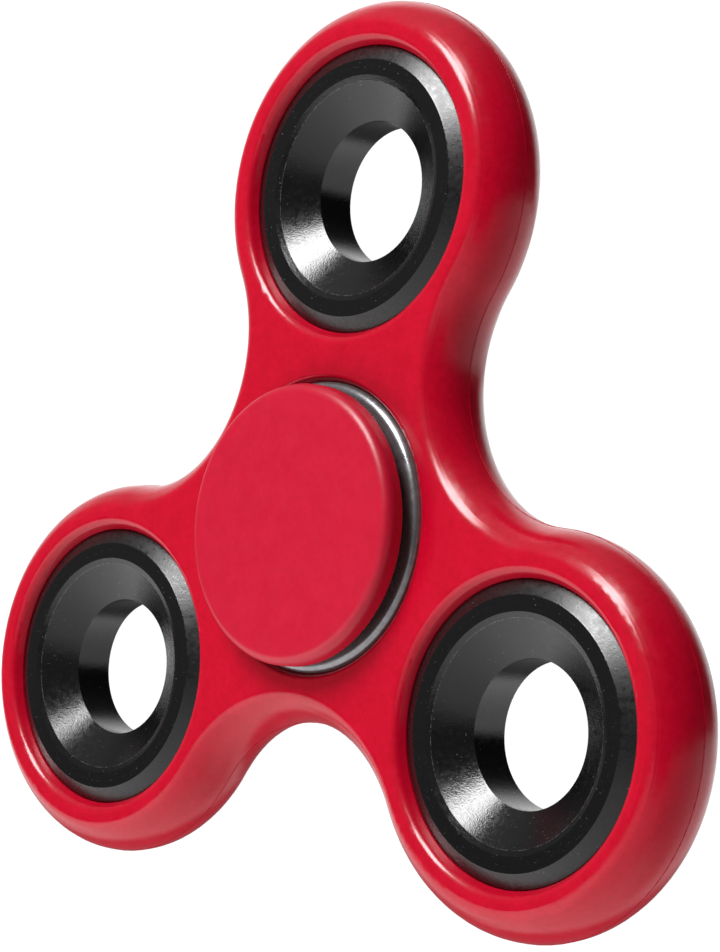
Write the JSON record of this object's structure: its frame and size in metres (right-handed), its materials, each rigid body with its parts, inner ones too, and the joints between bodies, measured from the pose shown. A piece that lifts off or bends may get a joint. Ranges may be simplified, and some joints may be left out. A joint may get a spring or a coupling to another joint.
{
  "type": "fidget spinner",
  "caption": "Flat lobed hand spinner with a ring weight in each lobe, turning on a central ball bearing held between round finger pads.",
  "frame": {"origin": "centre of the bearing, on the spin axis at mid-thickness", "axes": "+Z along the spin axis out of the front finger pad, +Y through one lobe, +X to the right"},
  "size_m": [0.074, 0.0681, 0.0122],
  "materials": {
    "body_plastic": "glossy moulded red",
    "pad_plastic": "satin moulded red",
    "weight_black": "glossy black coating on steel",
    "race_steel": "ground and polished",
    "ball_steel": "mirror polished",
    "cage_steel": "pressed strip",
    "shield_steel": "pressed strip",
    "clip_steel": "spring steel"
  },
  "bodies": {
    "hub": {"bearing_inner_race": "race_steel", "pad_front": "pad_plastic", "pad_rear": "pad_plastic"},
    "rotor": {"spinner_body": "body_plastic", "weight_ring_top": "weight_black", "weight_ring_left": "weight_black", "weight_ring_right": "weight_black", "bearing_outer_race": "race_steel", "shield_front": "shield_steel", "shield_rear": "shield_steel", "snap_ring_front": "clip_steel", "snap_ring_rear": "clip_steel"},
    "cage": {"cage_front": "cage_steel", "cage_rear": "cage_steel"},
    "ball_1": {"bearing_ball_1": "ball_steel"},
    "ball_2": {"bearing_ball_2": "ball_steel"},
    "ball_3": {"bearing_ball_3": "ball_steel"},
    "ball_4": {"bearing_ball_4": "ball_steel"},
    "ball_5": {"bearing_ball_5": "ball_steel"},
    "ball_6": {"bearing_ball_6": "ball_steel"},
    "ball_7": {"bearing_ball_7": "ball_steel"}
  },
  "joints": [
    {"name": "spinner_spin", "type": "hinge", "parent": "hub", "child": "rotor", "pos_m": [0, 0, 0], "axis": [0, 0, 1], "continuous": true},
    {"name": "cage_orbit", "type": "hinge", "parent": "hub", "child": "cage", "pos_m": [0, 0, 0], "axis": [0, 0, 1], "continuous": true},
    {"name": "ball_1_spin", "type": "hinge", "parent": "cage", "child": "ball_1", "pos_m": [0, 0.0075, 0], "axis": [0, 0, 1], "continuous": true},
    {"name": "ball_2_spin", "type": "hinge", "parent": "cage", "child": "ball_2", "pos_m": [-0.00586, 0.00468, 0], "axis": [0, 0, 1], "continuous": true},
    {"name": "ball_3_spin", "type": "hinge", "parent": "cage", "child": "ball_3", "pos_m": [-0.00731, -0.00167, 0], "axis": [0, 0, 1], "continuous": true},
    {"name": "ball_4_spin", "type": "hinge", "parent": "cage", "child": "ball_4", "pos_m": [-0.00325, -0.00676, 0], "axis": [0, 0, 1], "continuous": true},
    {"name": "ball_5_spin", "type": "hinge", "parent": "cage", "child": "ball_5", "pos_m": [0.00325, -0.00676, 0], "axis": [0, 0, 1], "continuous": true},
    {"name": "ball_6_spin", "type": "hinge", "parent": "cage", "child": "ball_6", "pos_m": [0.00731, -0.00167, 0], "axis": [0, 0, 1], "continuous": true},
    {"name": "ball_7_spin", "type": "hinge", "parent": "cage", "child": "ball_7", "pos_m": [0.00586, 0.00468, 0], "axis": [0, 0, 1], "continuous": true}
  ],
  "couplings": [
    {"joint": "cage_orbit", "follows": "spinner_spin", "ratio": 0.6323},
    {"joint": "ball_1_spin", "follows": "spinner_spin", "ratio": 1.7573},
    {"joint": "ball_2_spin", "follows": "spinner_spin", "ratio": 1.7573},
    {"joint": "ball_3_spin", "follows": "spinner_spin", "ratio": 1.7573},
    {"joint": "ball_4_spin", "follows": "spinner_spin", "ratio": 1.7573},
    {"joint": "ball_5_spin", "follows": "spinner_spin", "ratio": 1.7573},
    {"joint": "ball_6_spin", "follows": "spinner_spin", "ratio": 1.7573},
    {"joint": "ball_7_spin", "follows": "spinner_spin", "ratio": 1.7573}
  ]
}
